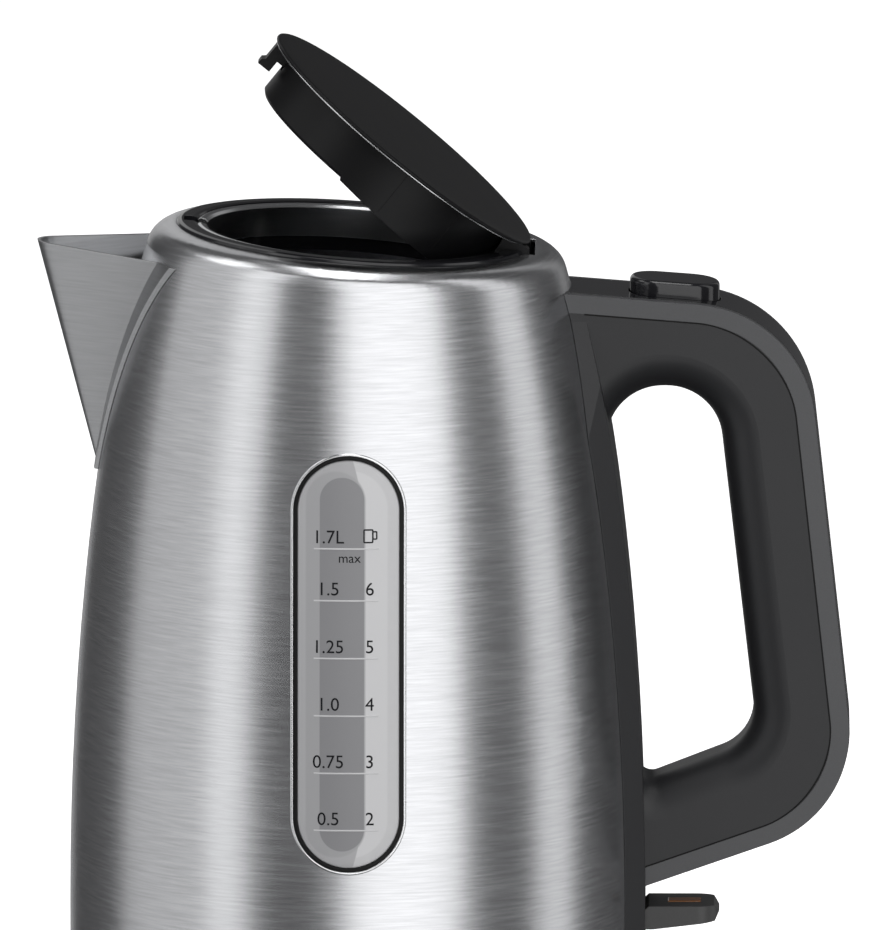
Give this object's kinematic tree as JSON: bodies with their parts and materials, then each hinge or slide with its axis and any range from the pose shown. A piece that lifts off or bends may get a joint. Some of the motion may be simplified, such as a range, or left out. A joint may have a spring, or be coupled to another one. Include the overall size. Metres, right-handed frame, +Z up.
{
  "type": "electric kettle",
  "caption": "Cordless steel kettle with hinged lid, side loop handle, level gauge, spout and swivelling power base.",
  "frame": {"origin": "on the surface that the feet stand on, on the upright axis of the jug and its power base", "axes": "+Z up, +X towards the handle, -X towards the spout, -Y towards the level gauge"},
  "size_m": [0.2176, 0.1614, 0.2744],
  "materials": {
    "base_black": "fine moulded texture",
    "foot_rubber": "matte",
    "screw_steel": "plain drawn steel",
    "contact_brass": "bare stamped brass",
    "brushed_steel": "fine horizontal brushing",
    "polished_steel": "satin polished",
    "plate_steel": "rolled, plain",
    "seal_silicone": "translucent white silicone",
    "seal_black": "matte",
    "seal_grey": "satin",
    "spreader_aluminium": "cast",
    "element_steel": "heat darkened sheath",
    "control_plastic": "moulded",
    "gauge_clear": "clear with a grey tint",
    "gloss_black": "gloss",
    "handle_grey": "fine grained satin",
    "handle_satin": "satin",
    "lid_black": "satin",
    "lamp_amber": "clear amber, unlit"
  },
  "bodies": {
    "power_base": {"base_housing": "base_black", "base_bottom_cover": "base_black", "base_feet": "foot_rubber", "base_screws": "screw_steel", "base_connector": "base_black", "base_contacts": "contact_brass", "cord_gland": "foot_rubber"},
    "cordless_connector": {"jug_connector": "base_black", "connector_contacts": "contact_brass"},
    "jug": {"body_shell": "brushed_steel", "spout": "polished_steel", "jug_bottom_housing": "base_black", "bottom_screws": "screw_steel", "heating_plate": "plate_steel", "plate_seal": "seal_silicone", "heat_spreader": "spreader_aluminium", "heating_element": "element_steel", "control_unit": "control_plastic", "bimetal_discs": "contact_brass", "steam_tube": "control_plastic", "steam_switch": "control_plastic", "switch_bracket": "screw_steel", "lever_pin": "screw_steel", "water_window": "gauge_clear", "window_gasket": "seal_black", "window_frame": "polished_steel", "level_marks": "gauge_clear", "rim_collar": "gloss_black", "neck_trim_ring": "polished_steel", "lid_hinge_pin": "screw_steel", "handle_grip": "handle_grey", "handle_band": "handle_satin", "handle_strip": "gloss_black", "handle_screws": "screw_steel", "rocker_pin": "screw_steel", "button_spring": "screw_steel"},
    "filter": {"filter_frame": "control_plastic", "filter_mesh": "plate_steel"},
    "lid": {"lid_plate": "lid_black", "lid_cap": "lid_black", "lid_seal": "seal_grey", "lid_springs": "screw_steel"},
    "latch": {"latch_bar": "lid_black"},
    "button": {"release_button": "gloss_black"},
    "rocker": {"release_rocker": "control_plastic"},
    "lever": {"switch_lever": "handle_grey", "switch_lamp": "lamp_amber"}
  },
  "joints": [
    {"name": "jug_lift", "type": "slide", "parent": "power_base", "child": "cordless_connector", "axis": [0, 0, 1], "range_m": [0, 0.06]},
    {"name": "jug_swivel", "type": "hinge", "parent": "cordless_connector", "child": "jug", "pos_m": [0, 0, 0.02], "axis": [0, 0, 1], "continuous": true},
    {"name": "lid_hinge", "type": "hinge", "parent": "jug", "child": "lid", "pos_m": [0.04505, 0, 0.21328], "axis": [0, 1, 0], "range_deg": [-34.8, 0], "stiffness_Nm_per_rad": 0.03, "springref_deg": 68.75},
    {"name": "latch_slide", "type": "slide", "parent": "lid", "child": "latch", "axis": [0.7771, 0, -0.6293], "range_m": [0, 0.0018]},
    {"name": "button_press", "type": "slide", "parent": "jug", "child": "button", "axis": [0, 0, -1], "range_m": [0, 0.0018], "stiffness_N_per_m": 400, "springref_m": -0.002, "deforming": ["button_spring"]},
    {"name": "rocker_turn", "type": "hinge", "parent": "jug", "child": "rocker", "pos_m": [0.07, 0, 0.1915], "axis": [0, 1, 0], "range_deg": [0, 11]},
    {"name": "switch_press", "type": "hinge", "parent": "jug", "child": "lever", "pos_m": [0.067, 0, 0.035], "axis": [0, 1, 0], "range_deg": [0, 14]},
    {"name": "filter_pull", "type": "slide", "parent": "jug", "child": "filter", "axis": [1, 0, 0], "range_m": [0, 0.012]}
  ],
  "couplings": [
    {"joint": "rocker_turn", "follows": "button_press", "rad_per_m": 105},
    {"joint": "latch_slide", "follows": "button_press", "ratio": 1}
  ]
}
